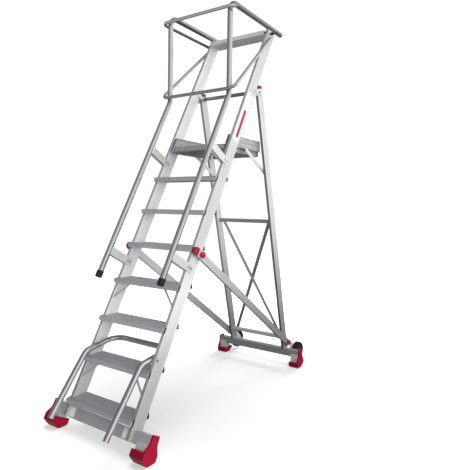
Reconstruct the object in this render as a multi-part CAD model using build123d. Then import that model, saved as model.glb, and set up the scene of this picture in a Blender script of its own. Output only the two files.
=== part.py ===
from build123d import *
import math
import os

os.makedirs("parts", exist_ok=True)

# ---------------------------------------------------------------- driving sizes (mm)
Y_SHIFT = 1122.725         # moves the origin to the middle of the footprint
TH = 28.71                # stile lean from the vertical, towards the rear
PH = 14.08                # rear leg lean from the vertical, towards the front
LEG_Y = 2083.0            # rear leg front face where it meets the floor
XI, XO = 275.0, 300.0     # stile inner and outer faces
STILE_D = 100.0           # stile depth
LEG_XI, LEG_XO = 275.4, 299.6
LEG_D = 80.0              # rear leg depth
WALL = 2.5
RISE = 250.0              # tread pitch
TOP1 = 215.0              # first tread surface
TREAD_D, TREAD_H = 153.0, 34.0
NOSE = 26.0               # tread nose ahead of the stile front face
RAIL_R, RAIL_RI = 20.0, 17.5
RAIL_X = 287.5
RAIL_Z = 3005.0
POST_Y = 1074.0
RAIL_P = -179.0           # handrail line ahead of the stile front face
GUARD_R, GUARD_RI = 12.5, 10.5
BAR_X = 440.0
SHOE_X = 455.0
SOLE_XI, SOLE_XI_R = 350.0, 361.0
HINGE_S, HINGE_P = 2850.0, 140.0
PLAT_TOP = 1965.0
PLAT_HW = 263.0
PLAT_PIVOT = (1100.0, 1950.0)
STRUT_TOP = (1363.0, 1950.0)
STRUT_FOOT = (1671.0, 1783.0)
STAY_XI, STAY_XO = 309.0, 329.0
STAY_W = 57.0
STAY_KNOB = (706.0, 1160.0)
STAY_FOOT_Q, STAY_FOOT_T = 44.0, 219.0
WHEEL_X, WHEEL_Y, WHEEL_Z = 350.0, 2244.0, 104.0
WHEEL_R, WHEEL_W = 85.0, 50.0
RBAR_Y0, RBAR_Y1, RBAR_Z0, RBAR_Z1 = 2064.0, 2124.0, 94.0, 154.0   # rear base bar
HOOP_X, HOOP_R, HOOP_RI = 254.0, 19.0, 17.0
HOOP_PIVOT = (303.0, 523.8)

ST, CT = math.sin(math.radians(TH)), math.cos(math.radians(TH))
SP, CP = math.sin(math.radians(PH)), math.cos(math.radians(PH))


# ---------------------------------------------------------------- frames
def stile(s, p):
    """height along the stile, depth behind its front face -> (Y, Z)"""
    return (s * ST + p * CT, s * CT - p * ST)


def leg(t, q):
    """height along the rear leg, depth behind its front face -> (Y, Z)"""
    return (LEG_Y + q * CP - t * SP, q * SP + t * CP)


def from_stile(shape):
    return Rot(-TH, 0, 0) * shape


def from_leg(shape):
    return Pos(0, LEG_Y, 0) * Rot(PH, 0, 0) * shape


HINGE = stile(HINGE_S, HINGE_P)
HINGE_Q = (HINGE[0] - LEG_Y) * CP + HINGE[1] * SP
HINGE_T = -(HINGE[0] - LEG_Y) * SP + HINGE[1] * CP
STAY_FOOT = leg(STAY_FOOT_T, STAY_FOOT_Q)


# ---------------------------------------------------------------- helpers
def block(x0, x1, y0, y1, z0, z1):
    return Pos((x0 + x1) / 2, (y0 + y1) / 2, (z0 + z1) / 2) * Box(x1 - x0, y1 - y0, z1 - z0)


def prism(pts, x0, x1, r=0.0):
    """polygon in (Y, Z) run from x0 to x1"""
    wire = FilletPolyline(*pts, radius=r, close=True) if r else Polyline(*pts, close=True)
    return extrude(Plane.YZ.offset(x0) * make_face(wire), amount=x1 - x0)


def face_prism(face, x0, x1):
    return extrude(Plane.YZ.offset(x0) * face, amount=x1 - x0)


def rod_x(x0, x1, y, z, r):
    return Pos((x0 + x1) / 2, y, z) * Rot(0, 90, 0) * Cylinder(r, x1 - x0)


def hex_x(x0, x1, y, z, r):
    return extrude(Plane(origin=(x0, y, z), x_dir=(0, 1, 0), z_dir=(1, 0, 0)) * RegularPolygon(r, 6), amount=x1 - x0)


def rod_between(a, b, r):
    a, b = Vector(*a), Vector(*b)
    return extrude(Plane(origin=a, z_dir=(b - a)) * Circle(r), amount=(b - a).length)


def pipe(pts, radius, r_out, r_in):
    path = FilletPolyline(*pts, radius=radius)
    section = Plane(origin=path @ 0, z_dir=path % 0) * (Circle(r_out) - Circle(r_in))
    return sweep(section, path=path)


def flip(shape):
    return mirror(shape, about=Plane.YZ)


def turned(profile, x, y, z):
    """profile of (radius, x offset) points spun about an axis along X at (y, z)"""
    ring = make_face(Polyline(*[(dx, r) for r, dx in profile], close=True))
    body = revolve(ring, axis=Axis.X, revolution_arc=360)
    return Pos(x, y, z) * body


nodes = {}


def solids_of(item):
    if isinstance(item, (list, tuple)):
        out = []
        for part in item:
            out += solids_of(part)
        return out
    return list(item.solids())


def put(name, *items):
    found = solids_of(items)
    nodes[name] = [Pos(0, -Y_SHIFT, 0) * s for s in found]


# ---------------------------------------------------------------- handrail, post and top rail
rail_foot = stile(1055.0, RAIL_P)
bend_z = (POST_Y * CT - RAIL_P) / ST
rail_pts = [
    (RAIL_X, *rail_foot),
    (RAIL_X, POST_Y, bend_z),
    (RAIL_X, POST_Y, RAIL_Z),
    (RAIL_X, 1858.0, RAIL_Z),
]
handrail = pipe(rail_pts, 75.0, RAIL_R, RAIL_RI)
put("handrail_right", handrail)
put("handrail_left", flip(handrail))

# a cup with a solid end and a sleeve over the tube
cap_profile = [(0, 0), (0, -24), (18, -24), (22, -22), (24, -17), (24, 20), (22.5, 23), (20.05, 23), (20.05, 0)]
cap_ring = make_face(Polyline(*[(r, z) for r, z in cap_profile], close=True))
cap_body = revolve(Plane.XZ * cap_ring, axis=Axis.Z, revolution_arc=360)
foot_cap = from_stile(Pos(RAIL_X, -179.0, 1055.0) * cap_body)
end_plug = Pos(RAIL_X, 1858.0, RAIL_Z) * Rot(90, 0, 0) * revolve(
    Plane.XZ * make_face(Polyline((0, 0), (20.4, 0), (20.4, -5), (17, -9), (0, -10), close=True)),
    axis=Axis.Z, revolution_arc=360)
put("rail_plugs", foot_cap, flip(foot_cap), end_plug, flip(end_plug))

# ---------------------------------------------------------------- stiles
section = Pos(RAIL_X, STILE_D / 2) * (
    RectangleRounded(XO - XI, STILE_D, 3) - RectangleRounded(XO - XI - 2 * WALL, STILE_D - 2 * WALL, 1.5))
stile_r = from_stile(Pos(0, 0, 125) * extrude(section, amount=3300))
stile_r -= block(200, 380, 1000, 3000, 2992, 3500)
stile_r -= Pos(RAIL_X, 1700, RAIL_Z) * Rot(90, 0, 0) * Cylinder(RAIL_R, 700)
stile_r -= from_stile(block(200, 400, 20, 80, 50, 197))
stile_r -= rod_x(260, 320, *HOOP_PIVOT, 5.0)
stile_r -= rod_x(268, 281, *PLAT_PIVOT, 6.05)
put("stile_right", stile_r)
put("stile_left", flip(stile_r))
stile_solid = from_stile(block(XI, XO, 0, STILE_D, 0, 3500))
stile_band = from_stile(block(XI, XO + 30, 0, STILE_D, 0, 3500))
nose_band = from_stile(block(XI, XO + 30, -300, -14, 0, 3500))
LAP_X = 297.0             # where the tread's nose and heel end, past the stile


# ---------------------------------------------------------------- treads and end plugs
def tread_outline(top):
    mid = top - TREAD_H / 2
    y0 = mid * math.tan(math.radians(TH)) - NOSE
    y1 = y0 + TREAD_D
    z0 = top - TREAD_H
    return y0, y1, z0


def tread(top, x0, x1):
    y0, y1, z0 = tread_outline(top)
    w, h = y1 - y0, TREAD_H
    base = h - 1.6
    prof = Pos(w / 2, base / 2) * RectangleRounded(w, base, 4)
    for k in range(15):
        c = 8.0 + k * (w - 16.0) / 14
        prof += Pos(c, base - 0.8 + 0.8) * Rectangle(4.4, 3.2)
    wall = 2.2
    cells = 3
    web = 2.2
    cw = (w - 2 * wall - (cells - 1) * web) / cells
    for k in range(cells):
        c = wall + cw / 2 + k * (cw + web)
        prof -= Pos(c, base / 2) * RectangleRounded(cw, base - 2 * wall, 2)
    # shallow lines along the nose and heel faces
    for zz in (8.0, 16.0, 24.0):
        prof -= Pos(0, zz) * Rectangle(1.6, 2.4)
        prof -= Pos(w, zz) * Rectangle(1.6, 2.4)
    return extrude(Plane.YZ.offset(x0) * (Pos(y0, z0) * prof), amount=x1 - x0)


levels = list(range(7)) + [11]
plugs = []
treads = {}
for k in levels:
    top = TOP1 + RISE * k
    name = "tread_%d" % (k + 1) if k < 7 else "top_tread"
    if k == 11:
        treads[name] = tread(top, -XI, XI)
        put(name, treads[name])
        continue
    treads[name] = tread(top, -LAP_X, LAP_X) - stile_solid - flip(stile_solid)
    y0, y1, z0 = tread_outline(top)
    full = face_prism(Pos((y0 + y1) / 2, z0 + TREAD_H / 2) * RectangleRounded(TREAD_D + 0.8, TREAD_H + 0.4, 4), LAP_X, XO + 0.5)
    # the nose is closed at its end; the plug sits between that end and the stile
    nose_end = face_prism(Pos((y0 + y1) / 2, z0 + TREAD_H / 2 - 0.8) * RectangleRounded(TREAD_D, TREAD_H - 1.6, 4), LAP_X, XO) & nose_band
    treads[name] = treads[name] + nose_end + flip(nose_end)
    full = full - stile_band - nose_band
    spigot = from_stile(block(LAP_X - 14, LAP_X + 1, -8.5, -4, 0, 3500)) & block(200, 400, y0 + 4, y0 + 40, z0 + 6, z0 + 25)
    full = [(h + spigot if h.center().Y < (y0 + y1) / 2 else h) for h in full.solids()]
    plugs += full + [flip(h) for h in full]
    put(name, treads[name])
put("tread_plugs", plugs)

# ---------------------------------------------------------------- rods under two of the treads
rods = []
for top, drop in ((465.0, 100.0), (965.0, 100.0)):
    z_t = top - TREAD_H
    y0, y1, _ = tread_outline(top)
    z_s = z_t - drop
    y_s = (12.0 + z_s * ST) / CT
    rod = rod_between((158, y0 + 30, z_t + 6), (XI + 6, y_s, z_s), 7.0)
    rod -= block(100, 300, y0 - 5, y1 + 5, z_t, z_t + 60)
    rod -= stile_solid
    rods += [rod, flip(rod)]
put("tread_rods", rods)

# ---------------------------------------------------------------- front base
bar_f = from_stile(block(-BAR_X, BAR_X, 20, 80, 122, 197) - block(-BAR_X - 5, BAR_X + 5, 23, 77, 125, 194))
put("base_bar_front", bar_f)
stub_f = from_stile(block(354, BAR_X, 14, 86, 102, 148) - block(-BAR_X - 5, BAR_X + 5, 20, 80, 122, 197))
put("base_stubs_front", stub_f, flip(stub_f))


def shoe(outline, sole_top, x_in):
    plate = prism(outline, BAR_X, SHOE_X)
    low = prism(outline, x_in, BAR_X) - block(300, 480, -500, 3000, sole_top, 900)
    return plate + low


FLOOR_F = ST / CT
front_wire = [
    (42, 42 * FLOOR_F + 8), (58, 58 * FLOOR_F), (112, 112 * FLOOR_F), (113, 96), (110, 107), (100, 121), (88, 138), (82, 156), (80, 200),
    (77, 203), (23, 203), (20, 200), (18, 156), (12, 138), (0, 121), (-10, 107), (-13, 96), (-12, 61),
]
front_wire[0] = (42, 31.8)
shoe_f = from_stile(shoe(front_wire, 102, SOLE_XI))
for i in range(4):
    yy = 72 + i * 15.0
    shoe_f -= block(SOLE_XI - 5, SHOE_X + 5, yy, yy + 4, -5, 2.5)
shoe_f -= block(300, 500, -300, 400, -80, 0)
put("shoe_front_right", shoe_f)
put("shoe_front_left", flip(shoe_f))

# ---------------------------------------------------------------- guard rails
GY = POST_Y - RAIL_R - GUARD_R - 0.2
upper = pipe([(-352, 1745, 2954), (-352, GY, 2954), (352, GY, 2954), (352, 1745, 2954)], 60, GUARD_R, GUARD_RI)
put("guard_upper", upper)
lower = pipe([(-313.4, 1634, 2900), (-350, GY, 2363), (350, GY, 2363), (313.4, 1634, 2900)], 60, GUARD_R, GUARD_RI)
put("guard_lower", lower)
spacers = []
for yy in (1672.0,):
    sp_ = rod_x(XO, 352, yy, 2954, 11.0) - Pos(352, yy, 2954) * Rot(90, 0, 0) * Cylinder(GUARD_R, 80)
    sp_ = [s for s in sp_.solids() if s.center().X < 352]
    spacers += sp_ + [flip(s) for s in sp_]
put("guard_spacers", spacers)

# ---------------------------------------------------------------- handrail brackets
straps = []
STRAP_S = (1238.0, 2100.0)
for s_mid in STRAP_S:
    outer = make_face(Polyline(
        (RAIL_X - 20.6, -175), (RAIL_X + 20.6, -175), (XO + 4, -40), (XO + 4, 51), (XI - 4, 51), (XI - 4, -40), close=True))
    inner = make_face(Polyline(
        (RAIL_X - 18.5, -190), (RAIL_X + 18.5, -190), (XO, -40), (XO, 60), (XI, 60), (XI, -40), close=True))
    strap = extrude(outer - inner - Pos(RAIL_X, RAIL_P) * Circle(RAIL_R), amount=58)
    strap = Pos(0, 0, s_mid - 29) * strap
    strap = strap & face_prism(Pos(-100, s_mid) * RectangleRounded(302, 58, 12), 200, 400)
    strap = from_stile(strap)
    straps += [strap, flip(strap)]
put("rail_brackets", straps)

# ---------------------------------------------------------------- hinge cheeks
h_in = SlotCenterToCenter(60, 40)
cheek_in = from_stile(Pos(0, HINGE_P - 30, HINGE_S) * extrude(Plane.YZ.offset(XI - 5) * h_in, amount=5))
cheek_out = from_leg(face_prism(Pos(11, HINGE_T) * RectangleRounded(118, 50, 6), XO, XO + 5))
hinge_cut = rod_x(200, 400, *HINGE, 7.0)
cheeks = [cheek_in - hinge_cut, cheek_out - hinge_cut]
put("hinge_cheeks", cheeks, [flip(c) for c in cheeks])

# ---------------------------------------------------------------- fasteners of the front frame
bolts = []
for s_mid in STRAP_S:
    for p_b in (6.0, 33.0):
        y, z = stile(s_mid, p_b)
        bolts += [hex_x(XO + 4, XO + 8, y, z, 8.5), hex_x(XI - 8, XI - 4, y, z, 8.5)]
hinge_pin = rod_x(XI - 9, XO + 9, *HINGE, 7.0)
bolts += [hinge_pin + hex_x(XO + 5, XO + 13, *HINGE, 12) + hex_x(XI - 12, XI - 5, *HINGE, 12)]
for dt in (-13, 13):
    y, z = leg(HINGE_T + dt, -36.0)
    bolts += [hex_x(XO + 5, XO + 9, y, z, 6.5)]
hoop_pin = rod_x(229, XO + 2, *HOOP_PIVOT, 5.0) + hex_x(XO, XO + 6, *HOOP_PIVOT, 9) + hex_x(227.5, 234.5, *HOOP_PIVOT, 9) + rod_x(273.5, XI, *HOOP_PIVOT, 9)
bolts += [hoop_pin]
# boss that the stay is pinned against
bolts += [rod_x(XO, 308.4, *STAY_KNOB, 17.0)]
# guard ends and top rail
bolts += [hex_x(364.6, 370, 1672, 2954, 8)]
put("frame_bolts", bolts, [flip(b) for b in bolts])

# ---------------------------------------------------------------- rear legs
leg_w = LEG_XO - LEG_XI
leg_section = Pos(RAIL_X, LEG_D / 2) * (
    RectangleRounded(leg_w, LEG_D, 3) - RectangleRounded(leg_w - 2 * WALL, LEG_D - 2 * WALL, 1.5))
# two shallow lines along each broad face
for q in (27.0, 53.0):
    leg_section -= Pos(LEG_XO, q) * Rectangle(1.4, 3.0)
    leg_section -= Pos(LEG_XI, q) * Rectangle(1.4, 3.0)
LEG_TOP = HINGE_T + 25.5
leg_r = Pos(0, 0, 95) * extrude(leg_section, amount=LEG_TOP - 95)
leg_r = from_leg(leg_r)
leg_r -= block(200, 400, 1900, 2300, 0, RBAR_Z1)
leg_r -= rod_x(268, 310, *HINGE, 7.05)
put("leg_right", leg_r)
put("leg_left", flip(leg_r))
cap = from_leg(prism([(1, LEG_TOP), (1, LEG_TOP + 6), (13, LEG_TOP + 20), (22, LEG_TOP + 26), (34, LEG_TOP + 28), (52, LEG_TOP + 26), (70, LEG_TOP + 19), (79, LEG_TOP + 12), (79, LEG_TOP)], LEG_XI, LEG_XO))
put("leg_caps", cap, flip(cap))

# ---------------------------------------------------------------- rear cross members
y, z = leg(HINGE_T + 4.0, 55.0)
put("rear_top_tube", rod_x(-LEG_XI, LEG_XI, y, z, 15) - rod_x(-LEG_XI - 5, LEG_XI + 5, y, z, 12.5))
MID_T = 1401.0
BOT_T = 265.0
for name, t, r in (("rear_mid_bar", MID_T, 17.0), ("rear_bottom_tube", BOT_T, 19.5)):
    y, z = leg(t, 61.0 - r)
    put(name, rod_x(-LEG_XI, LEG_XI, y, z, r) - rod_x(-LEG_XI - 5, LEG_XI + 5, y, z, r - 2.5))
BRACE_X = 248.0


def brace(q0, sign):
    """flat bar between the cross tubes, in the plane behind them"""
    a, b = Vector(-BRACE_X * sign, 0, MID_T), Vector(BRACE_X * sign, 0, BOT_T)
    d = b - a
    ang = math.degrees(math.atan2(d.Z, d.X))
    flat = Plane(origin=(0, q0, (MID_T + BOT_T) / 2), x_dir=(1, 0, 0), z_dir=(0, -1, 0)) * (
        Rot(0, 0, ang) * SlotCenterToCenter(d.length, 30))
    return extrude(flat, amount=-5)


put("brace_a", from_leg(brace(61.2, 1)))
put("brace_b", from_leg(brace(66.6, -1)))

# ---------------------------------------------------------------- rear base, shoes and wheel brackets
bar_r = block(-BAR_X, BAR_X, RBAR_Y0, RBAR_Y1, RBAR_Z0, RBAR_Z1) - block(-BAR_X - 5, BAR_X + 5, RBAR_Y0 + 3, RBAR_Y1 - 3, RBAR_Z0 + 3, RBAR_Z1 - 3)
put("base_bar_rear", bar_r)
SOLE_TOP_R = 47.0
stub_r = block(369, BAR_X, RBAR_Y0 - 6, RBAR_Y1 - 4, SOLE_TOP_R, RBAR_Z0 + 28) - block(-BAR_X - 5, BAR_X + 5, RBAR_Y0, RBAR_Y1, RBAR_Z0, RBAR_Z1)
put("base_stubs_rear", stub_r, flip(stub_r))
rear_wire = [
    (2052, 0), (2112, 0), (2158, 28), (2165, 40), (2165, 52), (2158, 66), (2144, 84), (2134, 102), (2129, 122), (2128, 161),
    (2125, 165), (2067, 165), (2064, 161), (2063, 116), (2057, 96), (2046, 74), (2036, 54), (2032, 38), (2033, 22), (2041, 7),
]
shoe_r = shoe(rear_wire, SOLE_TOP_R, SOLE_XI_R)
for i in range(3):
    yy = 2068 + i * 17.0
    shoe_r -= block(SOLE_XI_R - 5, SHOE_X + 5, yy, yy + 4, -5, 2.5)
put("shoe_rear_right", shoe_r)
put("shoe_rear_left", flip(shoe_r))

# one gusset plate on the inner side of each wheel, with a folded flange on the bar's rear face
GUSSET_X = WHEEL_X - WHEEL_W / 2 - 8
gusset = prism([
    (RBAR_Y1, RBAR_Z0 + 2), (RBAR_Y1, RBAR_Z1 - 1), (RBAR_Y1 + 20, 190), (2188, 196), (2232, 158), (2272, 118), (2306, 88), (2306, 74),
    (2262, 70), (2180, 84)], GUSSET_X, GUSSET_X + 6, 5.0)
gusset += block(GUSSET_X - 40, GUSSET_X + 6, RBAR_Y1, RBAR_Y1 + 5, RBAR_Z0 + 6, RBAR_Z1 - 6)
gusset -= rod_x(GUSSET_X - 5, GUSSET_X + 11, WHEEL_Y, WHEEL_Z, 8.0)
put("wheel_brackets", gusset, flip(gusset))

# ---------------------------------------------------------------- fasteners of the rear frame
rb = []
axle = rod_x(GUSSET_X - 4, WHEEL_X + 30, WHEEL_Y, WHEEL_Z, 8.0) + hex_x(WHEEL_X + 25, WHEEL_X + 33, WHEEL_Y, WHEEL_Z, 12) + hex_x(GUSSET_X - 9, GUSSET_X, WHEEL_Y, WHEEL_Z, 13)
rb.append(axle)
for dz in (17, 43):
    rb.append(Pos(GUSSET_X - 22, RBAR_Y1 + 7, RBAR_Z0 + dz) * Rot(90, 0, 0) * Cylinder(7, 4))
rb.append(rod_x(LEG_XO, 308.5, *STAY_FOOT, 17.0) + rod_x(LEG_XO, 314.5, *STAY_FOOT, 8.0))
rb.append(rod_x(265.2, LEG_XI, *STRUT_FOOT, 6.0) + rod_x(263.6, 266.0, *STRUT_FOOT, 9.0) + rod_x(272.6, LEG_XI, *STRUT_FOOT, 9.5))
rb += [flip(b) for b in rb]
for sgn in (-1, 1):
    for t, q1, q2 in ((MID_T, 66.2, 71.2), (BOT_T, 66.2, 71.2)):
        # brace_a ends: left top and right bottom; brace_b ends: right top and left bottom
        on_a = (sgn < 0) == (t == MID_T)
        q_head = 66.2 if on_a else 71.6
        head = Pos(sgn * BRACE_X, q_head + 2.5, t) * Rot(90, 0, 0) * Cylinder(9, 5)
        rb.append(from_leg(head))
        if not on_a:
            washer = Pos(sgn * BRACE_X, 63.9, t) * Rot(90, 0, 0) * Cylinder(9, 5.4)
            rb.append(from_leg(washer))
put("rear_bolts", rb)

# ---------------------------------------------------------------- wheels
tyre_prof = [(56, -20), (66, -23.5), (76, -25), (81.5, -22.5), (84.2, -15), (WHEEL_R, 0), (84.2, 15), (81.5, 22.5), (76, 25), (66, 23.5), (56, 20)]
hub_prof = [(8.05, -24), (18, -24), (18, -13), (45, -10), (49, -19), (56, -20), (56, 20), (49, 19), (45, 10), (18, 13), (18, 24), (8.05, 24)]
tyre = turned(tyre_prof, WHEEL_X, WHEEL_Y, WHEEL_Z)
hub = turned(hub_prof, WHEEL_X, WHEEL_Y, WHEEL_Z)
for k in range(6):
    a = math.radians(60 * k + 15)
    hub -= rod_x(WHEEL_X - 30, WHEEL_X + 30, WHEEL_Y + 32 * math.cos(a), WHEEL_Z + 32 * math.sin(a), 7.0)
put("tyre_right", tyre)
put("tyre_left", flip(tyre))
put("hub_right", hub)
put("hub_left", flip(hub))

# ---------------------------------------------------------------- platform
T = 3.0


def front_y(zz, p):
    return (p + zz * ST) / CT


PLAT_REAR, PLAT_CR = 1630.0, 60.0     # rear end and rear corner radius


def plan(inset):
    """outline of the tray seen from above, drawn well past its front end"""
    w, d = 2 * (PLAT_HW - inset), 1200.0 - 2 * inset
    return Pos(0, PLAT_REAR - 600.0) * RectangleRounded(w, d, PLAT_CR - inset)


def up(face, z0, z1):
    return extrude(Pos(0, 0, z0) * face, amount=z1 - z0)


ahead = from_stile(block(-400, 400, -2500, 4, 0, 4000))
deck = up(plan(0), PLAT_TOP - T, PLAT_TOP) - block(-400, 400, 0, 1088, PLAT_TOP - 10, PLAT_TOP + 10)
wall_t = up(plan(0) - plan(T), PLAT_TOP, PLAT_TOP + 80) - ahead
lip_t = up(plan(T) - plan(12), PLAT_TOP + 77, PLAT_TOP + 80) - ahead
tray = deck + wall_t + lip_t
put("platform_deck", tray)

nose = Pos(1074, PLAT_TOP - 19) * RectangleRounded(28, 38, 6) - Pos(1074, PLAT_TOP - 19) * RectangleRounded(23, 33, 4)
nosing = face_prism(nose, -PLAT_HW, PLAT_HW) - block(-300, 300, 1050, 1090, PLAT_TOP - 0.0, PLAT_TOP + 5)
for k in range(3):
    nosing -= block(-300, 300, 1066 + 6 * k, 1068.5 + 6 * k, PLAT_TOP - 1.2, PLAT_TOP + 2)
put("platform_nosing", nosing - prism([(front_y(PLAT_TOP, 4), PLAT_TOP - 0.001), (1100, PLAT_TOP - 0.001), (1100, PLAT_TOP + 5), (front_y(PLAT_TOP, 4), PLAT_TOP + 5)], -300, 300))

FZ = PLAT_TOP - T
frame_side = block(PLAT_HW - 30, PLAT_HW, 1088, 1569, FZ - 45, FZ) - block(PLAT_HW - 27, PLAT_HW + 5, 1080, 1600, FZ - 42, FZ - 3)
cross = []
for x_c, y0c, y1c in ((228, 1588, 1618), (PLAT_HW - 30, 1320, 1350)):
    cross.append(block(-x_c, x_c, y0c, y1c, FZ - 40, FZ) - block(-PLAT_HW, PLAT_HW, y0c + 3, y1c - 3, FZ - 37, FZ - 3))
put("platform_frame", frame_side, flip(frame_side), cross)

strip = from_stile(block(PLAT_HW - 5.5, PLAT_HW, -1.5, 4, 2246, 2331))
strip -= prism([(1000, PLAT_TOP), (1300, PLAT_TOP), (1300, PLAT_TOP - 60), (1000, PLAT_TOP - 60)], 200, 300)
strip -= tray
put("platform_strips", strip, flip(strip))

pins = [rod_x(PLAT_HW - 27, 279.0, *PLAT_PIVOT, 6.0) + rod_x(PLAT_HW - 27, 266.0, *PLAT_PIVOT, 8.5), rod_x(PLAT_HW - 27, 266.0, *STRUT_TOP, 8.5)]
put("platform_pins", pins, [flip(p) for p in pins])

# ---------------------------------------------------------------- struts
dy, dz = STRUT_TOP[0] - STRUT_FOOT[0], STRUT_TOP[1] - STRUT_FOOT[1]
ang = math.degrees(math.atan2(dz, dy))
bar = Pos((STRUT_TOP[0] + STRUT_FOOT[0]) / 2, (STRUT_TOP[1] + STRUT_FOOT[1]) / 2) * Rot(0, 0, ang) * SlotCenterToCenter(math.hypot(dy, dz), 30)
bar -= Pos(*STRUT_FOOT) * Circle(6.05)
strut = face_prism(bar, 266.5, 272.0) + rod_x(272.0, 274.2, *STRUT_TOP, 9.0)
put("strut_right", strut)
put("strut_left", flip(strut))

# ---------------------------------------------------------------- stays with end caps
ky, kz = STAY_KNOB[0] - STAY_FOOT[0], STAY_KNOB[1] - STAY_FOOT[1]
stay_len = math.hypot(ky, kz)
ky, kz = ky / stay_len, kz / stay_len
stay_plane = Plane(origin=(STAY_XI, *STAY_FOOT), x_dir=(0, ky, kz), z_dir=(1, 0, 0))
stay_front, stay_back = stay_len + 32.0, -20.0


def along(x0, x1, half, z0, z1, r=0.0):
    w = x1 - x0
    face = RectangleRounded(w, 2 * half, r) if r else Rectangle(w, 2 * half)
    return extrude(Pos((x0 + x1) / 2, 0, z0) * face, amount=z1 - z0)


stay = along(stay_back, stay_front, STAY_W / 2, 0, 20) - along(stay_back - 5, stay_front + 5, STAY_W / 2 - WALL, WALL, 20 - WALL)
for c, r in ((0.0, 8.05), ):
    stay -= Pos(c, 0, 0) * Cylinder(r, 8)
for c in (0.0, stay_len):
    stay -= Pos(c, 0, 20) * Cylinder(5.05, 8)
put("stay_right", stay_plane * stay)
put("stay_left", flip(stay_plane * stay))
cap_a = along(stay_front, stay_front + 46, STAY_W / 2 + 1, -0.4, 20.7)
cap_a = fillet([e for e in cap_a.edges().filter_by(Axis.Z) if e.center().X > stay_front + 20], 28)
cap_a = fillet([e for e in cap_a.edges() if e.center().Z > 20 and e.center().X > stay_front + 1], 4)
cap_b = along(stay_back - 18, stay_back, STAY_W / 2 + 1, -0.4, 20.7)
cap_b = fillet([e for e in cap_b.edges().filter_by(Axis.Z) if e.center().X < stay_back - 10], 14)
put("stay_caps_right", stay_plane * cap_a, stay_plane * cap_b)
put("stay_caps_left", flip(stay_plane * cap_a), flip(stay_plane * cap_b))

# ---------------------------------------------------------------- pull knobs
knob_prof = [(0, -14), (4.2, -14), (5, -13), (5, 0.9), (15, 0.9), (16, 2), (16, 5), (12, 7), (12, 9.5), (20, 10.5), (23, 13), (24, 16), (23.4, 20), (21, 23), (15, 25), (0, 25.6)]
for where, (ky_, kz_) in (("front", STAY_KNOB), ("rear", STAY_FOOT)):
    knob = turned(knob_prof, STAY_XO, ky_, kz_)
    put("knob_%s_right" % where, knob)
    put("knob_%s_left" % where, flip(knob))

# ---------------------------------------------------------------- lifting hoop
h0, h1, h2 = stile(96.0, -130.65), (210.5, 511.0), (471.9, 549.6)
hoop_pts = [(HOOP_X, *h0), (HOOP_X, *h1), (HOOP_X, *h2), (-HOOP_X, *h2), (-HOOP_X, *h1), (-HOOP_X, *h0)]
hoop = pipe(hoop_pts, [66.0, 95.0, 95.0, 66.0], HOOP_R, HOOP_RI)
hoop -= rod_x(-300, 300, *HOOP_PIVOT, 5.05)
put("lift_hoop", hoop)

# ---------------------------------------------------------------- write
lo = [1e9] * 3
hi = [-1e9] * 3
for name, parts in nodes.items():
    shape = parts[0] if len(parts) == 1 else Compound(children=parts)
    shape.label = name
    export_step(shape, "parts/%s.step" % name)
    for part in parts:
        b = part.bounding_box()
        for i, (a, c) in enumerate(((b.min.X, b.max.X), (b.min.Y, b.max.Y), (b.min.Z, b.max.Z))):
            lo[i] = min(lo[i], a)
            hi[i] = max(hi[i], c)
print("box", [round(v, 2) for v in lo], [round(v, 2) for v in hi], "mid Y", round((lo[1] + hi[1]) / 2, 3))


def show(name, yz):
    print(name, round(yz[0] - Y_SHIFT, 3), round(yz[1], 3))


show("hinge", HINGE)
show("platform pivot", PLAT_PIVOT)
show("strut foot", STRUT_FOOT)
show("strut top", STRUT_TOP)
show("stay foot", STAY_FOOT)
show("stay knob", STAY_KNOB)
show("wheel", (WHEEL_Y, WHEEL_Z))
show("hoop pivot", HOOP_PIVOT)
print("stay lean", round(math.degrees(math.atan2(kz, -ky)), 4), "nodes", len(nodes))
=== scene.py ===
import math
import random

import bmesh
import bpy
from mathutils import Euler, Matrix, Vector


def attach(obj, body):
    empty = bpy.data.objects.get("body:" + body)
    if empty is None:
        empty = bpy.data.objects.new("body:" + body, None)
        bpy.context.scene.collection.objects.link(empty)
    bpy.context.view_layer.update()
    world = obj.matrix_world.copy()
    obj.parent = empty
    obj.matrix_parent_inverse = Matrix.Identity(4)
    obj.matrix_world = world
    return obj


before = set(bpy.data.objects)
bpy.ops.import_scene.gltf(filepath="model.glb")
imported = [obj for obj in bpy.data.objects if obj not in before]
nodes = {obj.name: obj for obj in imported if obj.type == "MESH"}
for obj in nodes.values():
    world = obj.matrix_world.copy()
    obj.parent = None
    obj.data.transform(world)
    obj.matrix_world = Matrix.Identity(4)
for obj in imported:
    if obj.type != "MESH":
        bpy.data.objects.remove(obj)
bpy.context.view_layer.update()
scene = bpy.context.scene
rng = random.Random(7)

# ------------------------------------------------------------------ shared sizes (metres, degrees)
TH = math.radians(28.71)        # lean of the stiles from vertical
PH = math.radians(14.08)        # lean of the rear legs from vertical
Y0 = 1.122725                   # shift from the toe line to the part's origin
LEG_Y = 2.083


def stile(x, s, p):
    """A point at X x, s along the stile and p behind its front face."""
    return Vector((x, s * math.sin(TH) + p * math.cos(TH) - Y0, s * math.cos(TH) - p * math.sin(TH)))


def leg(x, t, q):
    """A point at X x, t along the rear leg and q behind its front face."""
    return Vector((x, LEG_Y + q * math.cos(PH) - t * math.sin(PH) - Y0, q * math.sin(PH) + t * math.cos(PH)))


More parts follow.
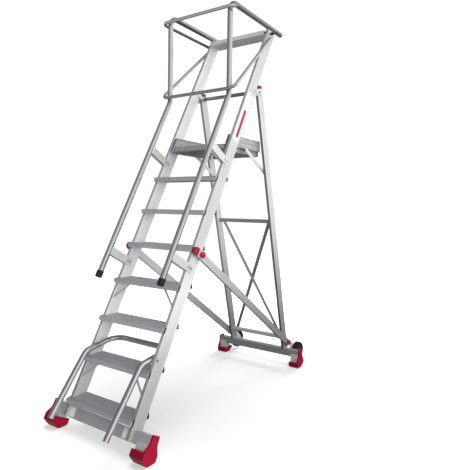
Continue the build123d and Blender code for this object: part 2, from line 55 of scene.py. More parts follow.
# ------------------------------------------------------------------ camera
cam_data = bpy.data.cameras.new("camera")
cam = bpy.data.objects.new("camera", cam_data)
scene.collection.objects.link(cam)
scene.camera = cam
cam_data.lens = 35.0
cam_data.sensor_width = 36.0
cam_data.clip_start = 0.05
cam_data.clip_end = 200.0
yaw, pitch, roll = math.radians(33.158), math.radians(-3.4225), math.radians(0.9657)
fwd = Vector((-math.sin(yaw) * math.cos(pitch), math.cos(yaw) * math.cos(pitch), math.sin(pitch)))
right = Vector((math.cos(yaw), math.sin(yaw), 0.0))
up = right.cross(fwd)
cx = right * math.cos(roll) + up * math.sin(roll)
cy = -right * math.sin(roll) + up * math.cos(roll)
cz = -fwd
cam.matrix_world = Matrix((
    (cx.x, cy.x, cz.x, 2.2292),
    (cx.y, cy.y, cz.y, -2.906025),
    (cx.z, cy.z, cz.z, 1.4869),
    (0, 0, 0, 1)))

# ------------------------------------------------------------------ materials


class Net:
    """A small helper to lay out shader nodes."""

    def __init__(self, name):
        self.mat = bpy.data.materials.new(name)
        self.mat.use_nodes = True
        self.t = self.mat.node_tree
        self.t.nodes.clear()
        self.out = self.t.nodes.new("ShaderNodeOutputMaterial")
        self.bsdf = self.t.nodes.new("ShaderNodeBsdfPrincipled")
        self.t.links.new(self.bsdf.outputs["BSDF"], self.out.inputs["Surface"])
        self.coord = self.t.nodes.new("ShaderNodeTexCoord")

    def link(self, a, b):
        self.t.links.new(a, b)

    def mapped(self, rotation=(0, 0, 0), size=(1, 1, 1), shift=(0, 0, 0)):
        m = self.t.nodes.new("ShaderNodeMapping")
        m.vector_type = "TEXTURE"
        m.inputs["Rotation"].default_value = rotation
        m.inputs["Scale"].default_value = size
        m.inputs["Location"].default_value = shift
        self.link(self.coord.outputs["Object"], m.inputs["Vector"])
        return m.outputs["Vector"]

    def noise(self, vector, scale=1.0, detail=4.0, rough=0.55, distortion=0.0):
        n = self.t.nodes.new("ShaderNodeTexNoise")
        n.inputs["Scale"].default_value = scale
        n.inputs["Detail"].default_value = detail
        n.inputs["Roughness"].default_value = rough
        n.inputs["Distortion"].default_value = distortion
        self.link(vector, n.inputs["Vector"])
        return n.outputs["Fac"]

    def voronoi(self, vector, scale=1.0, feature="F1"):
        n = self.t.nodes.new("ShaderNodeTexVoronoi")
        n.feature = feature
        n.inputs["Scale"].default_value = scale
        self.link(vector, n.inputs["Vector"])
        return n.outputs["Distance"]

    def ramp(self, fac, stops):
        r = self.t.nodes.new("ShaderNodeValToRGB")
        e = r.color_ramp.elements
        while len(e) < len(stops):
            e.new(0.5)
        for el, (pos, col) in zip(e, stops):
            el.position = pos
            el.color = (col, col, col, 1) if isinstance(col, (int, float)) else (*col, 1)
        self.link(fac, r.inputs["Fac"])
        return r.outputs["Color"]

    def span(self, fac, lo, hi, a=0.0, b=1.0):
        m = self.t.nodes.new("ShaderNodeMapRange")
        m.inputs["From Min"].default_value = a
        m.inputs["From Max"].default_value = b
        m.inputs["To Min"].default_value = lo
        m.inputs["To Max"].default_value = hi
        self.link(fac, m.inputs["Value"])
        return m.outputs["Result"]

    def math(self, op, a, b):
        m = self.t.nodes.new("ShaderNodeMath")
        m.operation = op
        for i, v in enumerate((a, b)):
            if isinstance(v, (int, float)):
                m.inputs[i].default_value = v
            else:
                self.link(v, m.inputs[i])
        return m.outputs["Value"]

    def mix(self, fac, a, b, blend="MIX"):
        m = self.t.nodes.new("ShaderNodeMix")
        m.data_type = "RGBA"
        m.blend_type = blend
        for socket, v in ((m.inputs[0], fac), (m.inputs[6], a), (m.inputs[7], b)):
            if isinstance(v, (int, float)):
                socket.default_value = v
            elif isinstance(v, tuple):
                socket.default_value = (*v, 1)
            else:
                self.link(v, socket)
        return m.outputs[2]

    def bump(self, height, strength=0.2, distance=0.001):
        b = self.t.nodes.new("ShaderNodeBump")
        b.inputs["Strength"].default_value = strength
        b.inputs["Distance"].default_value = distance
        self.link(height, b.inputs["Height"])
        self.link(b.outputs["Normal"], self.bsdf.inputs["Normal"])

    def edge(self):
        """The surface's pointiness, which is high where it turns a convex corner."""
        g = self.t.nodes.new("ShaderNodeNewGeometry")
        return g.outputs["Pointiness"]


def aluminium(name, tone, rough, direction=(0, 0, 0), along=0.25, across=0.0011, stain=0.5, spread=0.10, metal=1.0, low=None, relief=0.12, faces=(), corner=None, wide=(0.009, 0.4), pit=0.03, painted_sheen=None):
    """Drawn aluminium: fine lines along one direction, dull handling marks, small pits.

    faces lists (axis, sign, factor): painted light and shade, the tone of the faces that look that way is multiplied
    by factor after how the light falls on them."""
    n = Net(name)
    fine = n.noise(n.mapped(direction, (across, across, along)), 1.0, 5.0, 0.6)
    band = n.noise(n.mapped(direction, (wide[0], wide[0], 1.4)), 1.0, 3.0, 0.5)
    marks = n.noise(n.mapped(direction, (0.06, 0.06, 0.16)), 1.0, 6.0, 0.62, 0.4)
    pits = n.noise(n.mapped(direction, (0.004, 0.004, 0.006)), 1.0, 2.0, 0.5)
    dull = n.ramp(marks, ((0.36, 0.0), (0.62, 1.0)))
    lines = n.math("ADD", n.math("MULTIPLY", fine, 1.0 - wide[1]), n.math("MULTIPLY", band, wide[1]))
    lo = tuple(c * (1 - spread) for c in tone)
    hi = tuple(min(1.0, c * (1 + spread * 0.6)) for c in tone)
    col = n.mix(n.span(lines, 0, 1, 0.3, 0.7), lo, hi)
    col = n.mix(n.math("MULTIPLY", dull, stain * 0.30), col, tuple(c * 0.72 for c in tone))
    if low:
        # painted shade: one end is painted darker, below low[0], or above it when low[1] is the lower height
        height = n.t.nodes.new("ShaderNodeSeparateXYZ")
        n.link(n.coord.outputs["Object"], height.inputs["Vector"])
        patchy = n.math("ADD", height.outputs["Z"], n.span(marks, -0.05, 0.05, 0.3, 0.7))
        end_shade = n.t.nodes.new("ShaderNodeMapRange")
        end_shade.interpolation_type = "SMOOTHSTEP"
        for key, v in (("From Min", low[0]), ("From Max", low[1]), ("To Min", low[2]), ("To Max", 0.0)):
            end_shade.inputs[key].default_value = v
        n.link(patchy, end_shade.inputs["Value"])
        col = n.mix(end_shade.outputs["Result"], col, tuple(c * 0.25 for c in tone))
    # painted light and shade: the faces that look along each listed axis are made lighter or darker by its factor
    for axis, sign, factor in faces:
        look = n.t.nodes.new("ShaderNodeSeparateXYZ")
        n.link(n.coord.outputs["Normal"], look.inputs["Vector"])
        face_shade = n.span(look.outputs[axis], 0.0, 1.0, 0.60 * sign, 0.85 * sign)
        col = n.mix(face_shade, col, (factor, factor, factor), "MULTIPLY")
    if painted_sheen:
        # painted highlight: the side faces are painted bright in a band around one height
        spot = n.t.nodes.new("ShaderNodeSeparateXYZ")
        n.link(n.coord.outputs["Object"], spot.inputs["Vector"])
        aim = n.t.nodes.new("ShaderNodeSeparateXYZ")
        n.link(n.coord.outputs["Normal"], aim.inputs["Vector"])
        away = n.math("ABSOLUTE", n.math("SUBTRACT", spot.outputs["Z"], painted_sheen[0]), 0.0)
        painted_highlight = n.math("MULTIPLY", n.span(away, painted_sheen[2], 0.0, 0.0, painted_sheen[1]), n.span(n.math("ABSOLUTE", aim.outputs["X"], 0.0), 0.0, 1.0, 0.60, 0.85))
        col = n.mix(painted_highlight, col, (0.985, 0.985, 0.99))
    if corner:
        # painted shade: the rear corners of the tray are painted darker
        place = n.t.nodes.new("ShaderNodeSeparateXYZ")
        n.link(n.coord.outputs["Object"], place.inputs["Vector"])
        corner_shade_mask = n.math("MULTIPLY", n.span(n.math("ABSOLUTE", place.outputs["X"], 0.0), 0.0, 1.0, corner[0] - 0.02, corner[0]),
                      n.span(place.outputs["Y"], 0.0, 1.0, corner[1] - 0.03, corner[1]))
        col = n.mix(n.math("MULTIPLY", corner_shade_mask, n.span(marks, 0.55, 0.95, 0.3, 0.7)), col, tuple(c * 0.35 for c in tone))
    n.link(col, n.bsdf.inputs["Base Color"])
    r = n.math("ADD", n.span(fine, rough - 0.06, rough + 0.06, 0.3, 0.7), n.math("MULTIPLY", dull, 0.12 * stain))
    r = n.math("ADD", r, n.span(pits, -pit, pit, 0.3, 0.7))
    n.link(r, n.bsdf.inputs["Roughness"])
    n.bsdf.inputs["Metallic"].default_value = metal
    n.bump(n.math("ADD", fine, n.math("MULTIPLY", pits, 0.3)), relief, 0.0004)
    return n.mat


def plastic(name, tone, rough, grain=0.0012, spread=0.12, coat=0.0, scuff=(0.30, 0.06, 0.08), shine=0.5, faces=()):
    """Moulded plastic: fine leather-like grain, faint flow marks, pale scuffs."""
    n = Net(name)
    g = n.noise(n.mapped((0, 0, 0), (grain,) * 3), 1.0, 3.0, 0.6)
    flow = n.noise(n.mapped((0, 0, 0), (0.035, 0.05, 0.03)), 1.0, 4.0, 0.55, 0.6)
    scratch = n.noise(n.mapped((0.5, 0.3, 0.2), (0.0016, 0.02, 0.012)), 1.0, 4.0, 0.6)
    lo = tuple(c * (1 - spread) for c in tone)
    hi = tuple(min(1.0, c * (1 + spread)) for c in tone)
    col = n.mix(n.span(flow, 0, 1, 0.32, 0.68), lo, hi)
    worn = n.ramp(scratch, ((0.60, 0.0), (0.74, 1.0)))
    col = n.mix(n.math("MULTIPLY", worn, 0.35), col, scuff)
    # painted light and shade: the faces that look along each listed axis are made lighter or darker by its factor
    for axis, sign, factor in faces:
        look = n.t.nodes.new("ShaderNodeSeparateXYZ")
        n.link(n.coord.outputs["Normal"], look.inputs["Vector"])
        col = n.mix(n.span(look.outputs[axis], 0.0, 1.0, 0.60 * sign, 0.85 * sign), col, (factor, factor, factor), "MULTIPLY")
    n.link(col, n.bsdf.inputs["Base Color"])
    r = n.math("ADD", n.span(g, rough - 0.07, rough + 0.07, 0.3, 0.7), n.math("MULTIPLY", worn, 0.12))
    n.link(r, n.bsdf.inputs["Roughness"])
    n.bsdf.inputs["Metallic"].default_value = 0.0
    n.bsdf.inputs["Specular IOR Level"].default_value = shine
    if coat:
        n.bsdf.inputs["Coat Weight"].default_value = coat
        n.bsdf.inputs["Coat Roughness"].default_value = 0.25
    n.bump(n.math("ADD", g, n.math("MULTIPLY", flow, 0.5)), 0.22, 0.0005)
    return n.mat


STILE_R = (-TH, 0, 0)
LEG_R = (PH, 0, 0)
CROSS_R = (0, math.pi / 2, 0)
DECK = 1.965                    # platform surface
REAR = 1.630 - Y0               # rear end of the platform
STAY_R = (math.atan2(949.676 + 416.725, 1160 - 223.125), 0, 0)

# painted light and shade: the aluminium parts are one metal, given copies of one finish whose tones are set lighter or
# darker after how the light falls on each part
M = {}
FRONT = ("Y", -1)
UNDER = ("Z", -1)
# painted light and shade: the two stiles get lit and shaded copies of one material, the inner broad faces painted a
# little brighter than the outer ones and the front faces darker, with painted shade towards the bottom and a painted
# highlight band on the sides
for side, inner in (("left", 1), ("right", -1)):
    M["stile_" + side] = aluminium("alu_stile_" + side, (0.86, 0.86, 0.865), 0.40, STILE_R, across=0.0022, stain=0.8, spread=0.20, metal=0.25, low=(0.10, 0.80, 0.52),
                                   faces=[(*FRONT, 0.63), ("X", inner, 1.16), ("X", -inner, 0.90)], painted_sheen=(0.90, 0.36, 1.0))
# painted light and shade: the two legs get copies of one material, the front faces painted darker, on the right leg
# more than the left, and the lower ends painted darker
M["leg"] = aluminium("alu_leg", (0.83, 0.83, 0.835), 0.40, LEG_R, metal=0.25, low=(0.2, 1.5, 0.80), faces=[(*FRONT, 0.26)])
M["leg_left"] = aluminium("alu_leg_left", (0.83, 0.83, 0.835), 0.40, LEG_R, metal=0.25, low=(0.2, 1.5, 0.80), faces=[(*FRONT, 0.48)])
M["strut"] = aluminium("alu_strut", (0.86, 0.86, 0.865), 0.40, (0.9, 0, 0), metal=0.35)
M["cross"] = aluminium("alu_cross", (0.66, 0.665, 0.675), 0.40, CROSS_R, metal=0.5)
M["bar"] = aluminium("alu_bar", (0.69, 0.695, 0.705), 0.30, CROSS_R, across=0.010, stain=0.5, spread=0.06, metal=0.75, relief=0.02, pit=0.01)
M["cross_mid"] = aluminium("alu_cross_mid", (0.40, 0.405, 0.415), 0.36, CROSS_R, metal=0.6)
# painted shade: the rear base bar is given a dark copy of the finish
M["dull"] = aluminium("alu_rear_bar_shaded", (0.32, 0.325, 0.335), 0.42, CROSS_R, metal=0.5)
# painted light and shade: the tread fronts are painted lighter and their tops a little darker, and the treads are
# painted darker low down
M["tread"] = aluminium("alu_tread", (0.62, 0.63, 0.655), 0.28, CROSS_R, across=0.0045, stain=0.8, spread=0.20, metal=0.55, low=(0.0, 0.7, 0.25), relief=0.12, faces=[(*FRONT, 1.13), ("Z", 1, 0.96)], wide=(0.020, 0.65))
M["tread_top"] = aluminium("alu_tread_top", (0.90, 0.905, 0.915), 0.40, CROSS_R, across=0.0045, stain=0.4, spread=0.12, metal=0.2)
# painted light and shade: the tubes get lit and shaded copies of one material; their undersides are painted darker,
# the rails above 2.955 m darker, the hoop's +X faces brighter and the upper guard's +X faces darker
M["tube"] = aluminium("alu_tube", (0.57, 0.57, 0.585), 0.24, STILE_R, across=0.012, stain=0.3, spread=0.04, relief=0.012, pit=0.01, low=(2.955, 2.915, 0.80), faces=[(*UNDER, 0.50)])
M["tube_left"] = aluminium("alu_tube_left", (0.64, 0.64, 0.655), 0.24, STILE_R, across=0.012, stain=0.3, spread=0.04, relief=0.012, pit=0.01, low=(2.955, 2.915, 0.50), faces=[(*UNDER, 0.60)])
M["tube_hoop"] = aluminium("alu_tube_hoop", (0.52, 0.52, 0.535), 0.20, STILE_R, across=0.012, stain=0.3, spread=0.04, relief=0.012, pit=0.01, faces=[("X", 1, 1.5)])
M["tube_cross"] = aluminium("alu_tube_cross", (0.95, 0.95, 0.965), 0.24, CROSS_R, across=0.012, stain=0.3, spread=0.04, relief=0.012, pit=0.01, faces=[("X", 1, 0.30), (*UNDER, 0.55)])
M["tube_rear"] = aluminium("alu_tube_rear", (0.34, 0.34, 0.352), 0.26, CROSS_R, across=0.004, stain=0.4, spread=0.06, relief=0.03)
# painted light and shade: the stays get copies of one material, the inner broad faces painted brighter, the undersides
# and the lower ends darker
for side, inner in (("left", 1), ("right", -1)):
    M["stay_" + side] = aluminium("alu_stay_" + side, (0.78, 0.78, 0.785), 0.40, STAY_R, metal=0.25, low=(0.35, 1.25, 0.80),
                                  faces=[(*UNDER, 0.30), ("X", inner, 1.16)])
# painted light and shade: the two braces get a shaded and a lit copy of one material
M["brace"] = aluminium("alu_brace", (0.27, 0.274, 0.282), 0.40, (0.4, 0.2, 0.1), along=0.03, metal=0.7)
M["brace_light"] = aluminium("alu_brace_light", (0.52, 0.525, 0.535), 0.40, (0.4, 0.2, 0.1), along=0.03, metal=0.5)
M["rod"] = aluminium("alu_rod", (0.66, 0.665, 0.675), 0.36, (0.4, 0.8, 0.1), along=0.03, metal=0.6)
# painted shade: the undersides of the plates are painted darker
M["plate"] = aluminium("alu_plate", (0.84, 0.845, 0.85), 0.38, (0.4, 0.2, 0.1), along=0.02, metal=0.35, faces=[(*UNDER, 0.30)])
M["stub"] = aluminium("alu_stub", (0.70, 0.705, 0.715), 0.40, (0.4, 0.2, 0.1), along=0.02, metal=0.45)
# painted shade: the tray's rear corners are painted darker
M["chequer"] = aluminium("alu_chequer", (0.50, 0.505, 0.515), 0.36, CROSS_R, along=0.05, stain=1.0, spread=0.18, metal=0.6, corner=(0.235, REAR - 0.030))
M["chequer_top"] = aluminium("alu_chequer_top", (0.86, 0.865, 0.875), 0.30, CROSS_R, along=0.05, stain=0.5, metal=0.6)
M["frame_dark"] = aluminium("alu_frame", (0.54, 0.545, 0.555), 0.38, CROSS_R, across=0.004, along=0.02, stain=1.0, spread=0.2, metal=0.6)
M["steel"] = aluminium("zinc_steel", (0.56, 0.56, 0.55), 0.30, (0, 0, 0), along=0.004, across=0.002, stain=0.7)
M["weld"] = aluminium("alu_weld", (0.70, 0.70, 0.71), 0.42, (0, 0, 0), along=0.003, across=0.002, stain=0.9, metal=0.7)
# painted shade: the front faces of the red shoes and leg caps are painted darker
M["red"] = plastic("red_moulded", (0.37, 0.003, 0.031), 0.42, scuff=(0.44, 0.03, 0.07), shine=0.16, faces=[(*FRONT, 0.74)])
M["red_dark"] = plastic("red_cap", (0.32, 0.012, 0.055), 0.30, scuff=(0.42, 0.08, 0.14), shine=0.5, coat=0.3)
M["knob"] = plastic("red_knob", (0.60, 0.008, 0.02), 0.32, coat=0.2, scuff=(0.62, 0.06, 0.08), shine=0.35)
M["black"] = plastic("black_moulded", (0.012, 0.012, 0.013), 0.48, scuff=(0.05, 0.05, 0.055), shine=0.35)
M["tyre"] = plastic("rubber_tyre", (0.014, 0.013, 0.018), 0.66, grain=0.002, scuff=(0.045, 0.042, 0.052), shine=0.2)
M["hub"] = plastic("hub_plastic", (0.045, 0.045, 0.055), 0.45, scuff=(0.09, 0.09, 0.10), shine=0.3)
M["sticker"] = plastic("sticker_white", (0.93, 0.93, 0.93), 0.35, spread=0.02, coat=0.2, scuff=(0.85, 0.85, 0.85))
M["sticker_bar"] = plastic("sticker_red", (0.50, 0.012, 0.075), 0.38, spread=0.06, scuff=(0.56, 0.07, 0.13), shine=0.3)

USE = {
    "stile_left": ["stile_left"],
    "stile_right": ["stile_right"],
    "leg": ["leg_right"],
    "leg_left": ["leg_left"],
    "strut": ["strut_left", "strut_right"],
    "cross": ["rear_bottom_tube"],
    "cross_mid": ["rear_mid_bar"],
    "bar": ["base_bar_front"],
    "frame_dark": ["platform_frame"],
    "dull": ["base_bar_rear"],
    "tread": ["tread_%d" % i for i in range(1, 8)],
    "tread_top": ["top_tread"],
    "tube": ["handrail_right", "guard_lower"],
    "tube_left": ["handrail_left"],
    "tube_hoop": ["lift_hoop"],
    "tube_cross": ["guard_upper"],
    "tube_rear": ["rear_top_tube"],
    "stay_left": ["stay_left"],
    "stay_right": ["stay_right"],
    "brace": ["brace_b"],
    "brace_light": ["brace_a"],
    "rod": ["tread_rods"],
    "plate": ["rail_brackets", "hinge_cheeks", "wheel_brackets"],
    "stub": ["base_stubs_front", "base_stubs_rear"],
    "chequer": ["platform_deck", "platform_nosing"],
    "steel": ["frame_bolts", "rear_bolts", "platform_pins"],
    "red": ["shoe_front_left", "shoe_front_right", "shoe_rear_left", "shoe_rear_right", "leg_caps"],
    "red_dark": ["stay_caps_left", "stay_caps_right"],
    "knob": ["knob_front_left", "knob_front_right", "knob_rear_left", "knob_rear_right"],
    "black": ["tread_plugs", "rail_plugs", "guard_spacers", "platform_strips"],
    "tyre": ["tyre_left", "tyre_right"],
    "hub": ["hub_left", "hub_right"],
}
for key, names in USE.items():
    for name in names:
        o = nodes[name]
        o.data.materials.clear()
        o.data.materials.append(M[key])
left_over = sorted(set(nodes) - {n for v in USE.values() for n in v})
if left_over:
    raise RuntimeError("nodes without a finish: %s" % left_over)

# ------------------------------------------------------------------ softened edges on the hard-edged pieces
EDGE = {
    "stile_left": 2.0, "stile_right": 2.0, "leg_left": 2.0, "leg_right": 2.0, "stay_left": 1.2, "stay_right": 1.2,
    "base_bar_front": 3.5, "base_bar_rear": 2.0, "base_stubs_front": 1.5, "base_stubs_rear": 1.5,
    "shoe_front_left": 2.5, "shoe_front_right": 2.5, "shoe_rear_left": 2.5, "shoe_rear_right": 2.5, "leg_caps": 3.0,
    "rail_brackets": 1.0, "hinge_cheeks": 1.0, "wheel_brackets": 1.0, "platform_deck": 0.8, "strut_left": 0.8, "strut_right": 0.8,
    "brace_a": 0.8, "brace_b": 0.8, "platform_frame": 0.6, "tread_plugs": 0.5,
}


def soften(o, width):
    weld = o.modifiers.new("join", "WELD")
    weld.merge_threshold = 0.00002
    bev = o.modifiers.new("edge", "BEVEL")
    bev.width = width / 1000.0
    bev.segments = 2
    bev.limit_method = "ANGLE"
    bev.angle_limit = math.radians(35)
    bev.use_clamp_overlap = True
    bev.harden_normals = False


for name, w in EDGE.items():
    soften(nodes[name], w)

# ------------------------------------------------------------------ small pieces that ride on the bodies


def piece(name, bm, mat, body, smooth=False):
    bmesh.ops.recalc_face_normals(bm, faces=bm.faces)
    if smooth:
        for f in bm.faces:
            f.smooth = True
    mesh = bpy.data.meshes.new(name)
    bm.to_mesh(mesh)
    bm.free()
    mesh.materials.append(mat)
    o = bpy.data.objects.new(name, mesh)
    scene.collection.objects.link(o)
    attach(o, body)
    return o


def lozenge(bm, centre, u, n, length, width, height):
    """A raised almond-shaped tear on a sheet: centre on the sheet, u along it, n out of it."""
    v = n.cross(u)
    rings = []
    for scale, lift in ((1.0, -0.0003), (0.80, height * 0.75), (0.45, height)):
        ring = []
        for i in range(10):
            a = 2 * math.pi * i / 10
            x = math.cos(a) * length / 2 * (0.55 + 0.45 * scale)
            y = math.sin(a) * abs(math.sin(a)) ** 0.35 * width / 2 * scale
            ring.append(bm.verts.new(centre + u * x + v * y + n * lift))
        rings.append(ring)
    for lo, hi in zip(rings, rings[1:]):
        for i in range(10):
            j = (i + 1) % 10
            bm.faces.new((lo[i], lo[j], hi[j], hi[i]))
    bm.faces.new(rings[-1])
    bm.faces.new(rings[0])


def chequer(name, origin, u, v, n, nu, nv, pitch, height, keep=None):
    """Rows of lozenges on a sheet, turned by a quarter from one to the next."""
    bm = bmesh.new()
    for i in range(nu):
        for j in range(nv):
            c = origin + u * (pitch * i) + v * (pitch * j)
            if keep and not keep(c):
                continue
            turn = math.radians(45 if (i + j) % 2 else -45)
            lozenge(bm, c, u * math.cos(turn) + v * math.sin(turn), n, 0.027, 0.0085, height)
    return piece(name, bm, M["chequer_top"], "platform", True)


X, Y, Z = Vector((1, 0, 0)), Vector((0, 1, 0)), Vector((0, 0, 1))
def on_deck(c):
    dx, dy = abs(c.x) - 0.203, c.y - (REAR - 0.060)
    return not (dx > 0 and dy > 0 and math.hypot(dx, dy) > 0.040)


chequer("chequer_deck", Vector((-0.238, 1.104 - Y0, DECK)), X, Y, Z, 15, 15, 0.034, 0.0020, on_deck)
for side, tag in ((1, "right"), (-1, "left")):
    chequer("chequer_inside_" + tag, Vector((side * 0.260, 1.150 - Y0, DECK + 0.020)), Y, Z, X * -side, 13, 2, 0.033, 0.0020)
    chequer("chequer_outside_" + tag, Vector((side * 0.263, 1.150 - Y0, DECK + 0.020)), Y, Z, X * side, 13, 2, 0.033, 0.0015)
chequer("chequer_back", Vector((-0.198, REAR - 0.003, DECK + 0.020)), X, Z, -Y, 13, 2, 0.033, 0.0020)
chequer("chequer_nosing", Vector((-0.238, 1.060 - Y0, DECK - 0.019)), X, Z, -Y, 15, 1, 0.034, 0.0012)


def rounded_slab(bm, x, s0, s1, p0, p1, r, out):
    """A thin sheet with rounded corners on the stile's outer face."""
    ring = []
    for cs, cp, a0 in ((s1 - r, p1 - r, 0), (s1 - r, p0 + r, 270), (s0 + r, p0 + r, 180), (s0 + r, p1 - r, 90)):
        for k in range(5):
            a = math.radians(a0 + 22.5 * k)
            ring.append((cs + r * math.cos(a), cp + r * math.sin(a)))
    mid = ((s0 + s1) / 2, (p0 + p1) / 2)
    ring.sort(key=lambda c: math.atan2(c[1] - mid[1], c[0] - mid[0]))
    lo = [bm.verts.new(stile(x, *c)) for c in ring]
    hi = [bm.verts.new(stile(x, *c) + out) for c in ring]
    bm.faces.new(lo)
    bm.faces.new(hi)
    n = len(ring)
    for i in range(n):
        j = (i + 1) % n
        bm.faces.new((lo[i], lo[j], hi[j], hi[i]))


for side, tag in ((1, "right"), (-1, "left")):
    bm = bmesh.new()
    rounded_slab(bm, side * 0.300, 2.300, 2.755, 0.010, 0.088, 0.006, X * side * 0.0003)
    piece("strip_white_" + tag, bm, M["sticker"], "front_frame")
    bm = bmesh.new()
    rounded_slab(bm, side * 0.3002, 2.335, 2.590, 0.036, 0.066, 0.004, X * side * 0.0004)
    piece("strip_red_" + tag, bm, M["sticker_bar"], "front_frame")


def bead(bm, path, r, closed=False):
    """A rippled weld bead along a path of points."""
    fine = []
    n = len(path)
    for i in range(n if closed else n - 1):
        a, b = path[i], path[(i + 1) % n]
        steps = max(1, int((b - a).length / 0.0022))
        fine += [a.lerp(b, k / steps) for k in range(steps)]
    if not closed:
        fine.append(path[-1])
    rings = []
    m = len(fine)
    for i, c in enumerate(fine):
        before = fine[i - 1] if (i or closed) else fine[i]
        after = fine[(i + 1) % m] if (i < m - 1 or closed) else fine[i]
        d = (after - before).normalized()
        side_ = d.cross(Z if abs(d.z) < 0.9 else X).normalized()
        up_ = side_.cross(d)
        rr = r * (1.0 + 0.16 * math.sin(i * 1.35) + rng.uniform(-0.06, 0.06))
        rings.append([bm.verts.new(c + side_ * (rr * math.cos(k * math.pi / 3)) + up_ * (rr * math.sin(k * math.pi / 3))) for k in range(6)])
    for i in range(m if closed else m - 1):
        lo, hi = rings[i], rings[(i + 1) % m]
        for k in range(6):
            j = (k + 1) % 6
            bm.faces.new((lo[k], lo[j], hi[j], hi[k]))
    if not closed:
        bm.faces.new(rings[0])
        bm.faces.new(rings[-1])


def ring_x(x, centre, r, n=36):
    return [Vector((x, centre.y + r * math.cos(2 * math.pi * k / n), centre.z + r * math.sin(2 * math.pi * k / n))) for k in range(n)]


rear = bmesh.new()
HINGE_T = 2.5029
for side in (1, -1):
    for t, q, r in ((HINGE_T + 0.004, 0.055, 0.015), (1.401, 0.044, 0.017), (0.265, 0.0415, 0.0195)):
        c = leg(0, t, q)
        bead(rear, ring_x(side * 0.2744, c, r + 0.0006), 0.0026, True)
    for x in (side * 0.2752, side * 0.2998):
        bead(rear, [Vector((x, 2.066 - Y0, 0.1545)), Vector((x, 2.119 - Y0, 0.1545))], 0.0028)
piece("weld_rear", rear, M["weld"], "rear_frame", True)

front = bmesh.new()
for side in (1, -1):
    for x in (side * 0.2748, side * 0.3002):
        bead(front, [stile(x, 0.130, 0.020), stile(x, 0.197, 0.020), stile(x, 0.197, 0.080), stile(x, 0.130, 0.080)], 0.0028)
        bead(front, [Vector((x, 1.640 - Y0, 2.9890)), Vector((x, 1.748 - Y0, 2.9890))], 0.0028)
piece("weld_front", front, M["weld"], "front_frame", True)

# a rolled lip along the lower edge of the lowest tread's nose, in the pale top-tread finish, which paints a highlight
# along it; and plain white pads on the base bar's front
lip = bmesh.new()
rings = []
for x in (-0.2965, 0.2965):
    rings.append([lip.verts.new((x, 0.0824 - Y0 + 0.0022 * math.cos(k * math.pi / 5), 0.1856 + 0.0026 * math.sin(k * math.pi / 5))) for k in range(10)])
for k in range(10):
    lip.faces.new((rings[0][k], rings[0][(k + 1) % 10], rings[1][(k + 1) % 10], rings[1][k]))
lip.faces.new(rings[0])
lip.faces.new(rings[1])
piece("tread_lip", lip, M["tread_top"], "front_frame", True)
for side, tag in ((1, "right"), (-1, "left")):
    bm = bmesh.new()
    edge = []
    for cx, cs, a0 in ((0.2685, 0.1855, 0), (0.2285, 0.1855, 90), (0.2285, 0.1335, 180), (0.2685, 0.1335, 270)):
        for k in range(5):
            a = math.radians(a0 + 22.5 * k)
            edge.append((side * (cx + 0.0045 * math.cos(a)), cs + 0.0045 * math.sin(a)))
    back = [bm.verts.new(stile(x, s, 0.0201)) for x, s in edge]
    brow = [bm.verts.new(stile(x, s, 0.0194)) for x, s in edge]
    face = [bm.verts.new(stile(x + (side * 0.2485 - x) * 0.03, s + (0.1595 - s) * 0.03, 0.0188)) for x, s in edge]
    bm.faces.new(back)
    bm.faces.new(face)
    for lo, hi in ((back, brow), (brow, face)):
        for i in range(len(edge)):
            j = (i + 1) % len(edge)
            bm.faces.new((lo[i], lo[j], hi[j], hi[i]))
    piece("white_pad_" + tag, bm, M["sticker"], "front_frame")

# ------------------------------------------------------------------ floor, world and lights
me = bpy.data.meshes.new("floor")
bm = bmesh.new()
bmesh.ops.create_grid(bm, x_segments=8, y_segments=8, size=30.0)
bm.to_mesh(me)
bm.free()
floor = bpy.data.objects.new("floor", me)
scene.collection.objects.link(floor)
fm = bpy.data.materials.new("floor_white")
fm.use_nodes = True
ft = fm.node_tree
ft.nodes.clear()
fo = ft.nodes.new("ShaderNodeOutputMaterial")
fb = ft.nodes.new("ShaderNodeBsdfDiffuse")
fb.inputs["Color"].default_value = (0.30, 0.30, 0.30, 1)
fe = ft.nodes.new("ShaderNodeEmission")
fe.inputs["Color"].default_value = (1, 1, 1, 1)
fa = ft.nodes.new("ShaderNodeAddShader")
ft.links.new(fb.outputs["BSDF"], fa.inputs[0])
ft.links.new(fe.outputs["Emission"], fa.inputs[1])
# what the ladder sees of the floor: pale before it, dim towards the rear
fc = ft.nodes.new("ShaderNodeTexCoord")
fs = ft.nodes.new("ShaderNodeSeparateXYZ")
ft.links.new(fc.outputs["Object"], fs.inputs["Vector"])
fr = ft.nodes.new("ShaderNodeMapRange")
fr.inputs["From Min"].default_value = -0.8
fr.inputs["From Max"].default_value = 1.2
fr.inputs["To Min"].default_value = 0.40
fr.inputs["To Max"].default_value = 0.14
ft.links.new(fs.outputs["Y"], fr.inputs["Value"])
fd = ft.nodes.new("ShaderNodeEmission")
fd.inputs["Color"].default_value = (1, 1, 1, 1)
ft.links.new(fr.outputs["Result"], fd.inputs["Strength"])
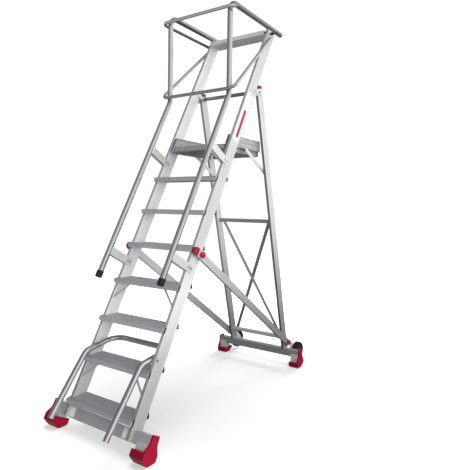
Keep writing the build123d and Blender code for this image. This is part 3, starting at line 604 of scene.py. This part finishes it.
# close to the ladder the floor takes a soft shadow, farther out it is plain white
fv = ft.nodes.new("ShaderNodeVectorMath")
fv.operation = "DISTANCE"
fv.inputs[1].default_value = (0.25, 0.25, 0.0)
ft.links.new(fc.outputs["Object"], fv.inputs[0])
fw = ft.nodes.new("ShaderNodeMapRange")
fw.interpolation_type = "SMOOTHSTEP"
fw.inputs["From Min"].default_value = 1.0
fw.inputs["From Max"].default_value = 2.6
fw.inputs["To Min"].default_value = 0.39
fw.inputs["To Max"].default_value = 1.0
ft.links.new(fv.outputs["Value"], fw.inputs["Value"])
ft.links.new(fw.outputs["Result"], fe.inputs["Strength"])
fl = ft.nodes.new("ShaderNodeLightPath")
fx = ft.nodes.new("ShaderNodeMixShader")
ft.links.new(fl.outputs["Is Camera Ray"], fx.inputs["Fac"])
ft.links.new(fd.outputs["Emission"], fx.inputs[1])
ft.links.new(fa.outputs["Shader"], fx.inputs[2])
ft.links.new(fx.outputs["Shader"], fo.inputs["Surface"])
me.materials.append(fm)

world = bpy.data.worlds.new("studio")
scene.world = world
world.use_nodes = True
wt = world.node_tree
wt.nodes.clear()
wo = wt.nodes.new("ShaderNodeOutputWorld")
wc = wt.nodes.new("ShaderNodeTexCoord")
wd = wt.nodes.new("ShaderNodeVectorMath")
wd.operation = "DOT_PRODUCT"
wd.inputs[1].default_value = Vector((0.80, 0.45, -0.60)).normalized()
wt.links.new(wc.outputs["Generated"], wd.inputs[0])
wm = wt.nodes.new("ShaderNodeMapRange")
wm.inputs["From Min"].default_value = -1.0
wm.inputs["From Max"].default_value = 1.0
wt.links.new(wd.outputs["Value"], wm.inputs["Value"])
wr = wt.nodes.new("ShaderNodeValToRGB")
wr.color_ramp.elements[0].position = 0.08
wr.color_ramp.elements[0].color = (0.24, 0.238, 0.252, 1)
wr.color_ramp.elements[1].position = 0.75
wr.color_ramp.elements[1].color = (1.15, 1.15, 1.155, 1)
wt.links.new(wm.outputs["Result"], wr.inputs["Fac"])
wb = wt.nodes.new("ShaderNodeBackground")
wb.inputs["Strength"].default_value = 1.0
wt.links.new(wr.outputs["Color"], wb.inputs["Color"])
ww = wt.nodes.new("ShaderNodeBackground")
ww.inputs["Color"].default_value = (1, 1, 1, 1)
ww.inputs["Strength"].default_value = 1.05
wl = wt.nodes.new("ShaderNodeLightPath")
wx = wt.nodes.new("ShaderNodeMixShader")
wt.links.new(wl.outputs["Is Camera Ray"], wx.inputs["Fac"])
wt.links.new(wb.outputs["Background"], wx.inputs[1])
wt.links.new(ww.outputs["Background"], wx.inputs[2])
wt.links.new(wx.outputs["Shader"], wo.inputs["Surface"])


def area(name, where, target, size, power, mirrored=True):
    d = bpy.data.lights.new(name, "AREA")
    d.shape = "RECTANGLE"
    d.size, d.size_y = size
    d.energy = power
    o = bpy.data.objects.new(name, d)
    scene.collection.objects.link(o)
    o.visible_camera = False
    o.visible_glossy = mirrored
    o.location = where
    o.rotation_mode = "QUATERNION"
    o.rotation_quaternion = (Vector(target) - Vector(where)).to_track_quat("-Z", "Y")
    return o


area("high_right", (3.0, 0.8, 5.6), (0.2, 0.0, 1.6), (7.0, 7.0), 50, False)
area("far_right", (7.0, -3.4, 1.8), (0.0, 0.0, 1.3), (8.0, 6.0), 150, False)
area("low_right", (3.4, -1.7, 1.0), (0.0, -0.5, 0.9), (3.0, 2.4), 40, False)
area("front_left", (-2.5, -3.5, 4.0), (0.0, 0.0, 1.0), (3.0, 3.0), 25, False)
# a broad box straight above gives the floor its soft shadow under the ladder
overhead = area("overhead", (0.1, 0.0, 5.5), (0.1, 0.0, 0.0), (3.2, 3.2), 400, False)
under = bpy.data.collections.new("floor_only")
under.objects.link(floor)
overhead.light_linking.receiver_collection = under
# another low behind it lays a soft shadow before the rear base bar and the shoes
behind = area("behind", (-0.3, 4.2, 2.0), (0.1, 0.9, 0.05), (2.6, 1.6), 340, False)
behind.light_linking.receiver_collection = under

scene.view_settings.view_transform = "Standard"
scene.view_settings.look = "None"
scene.view_settings.exposure = 0.0
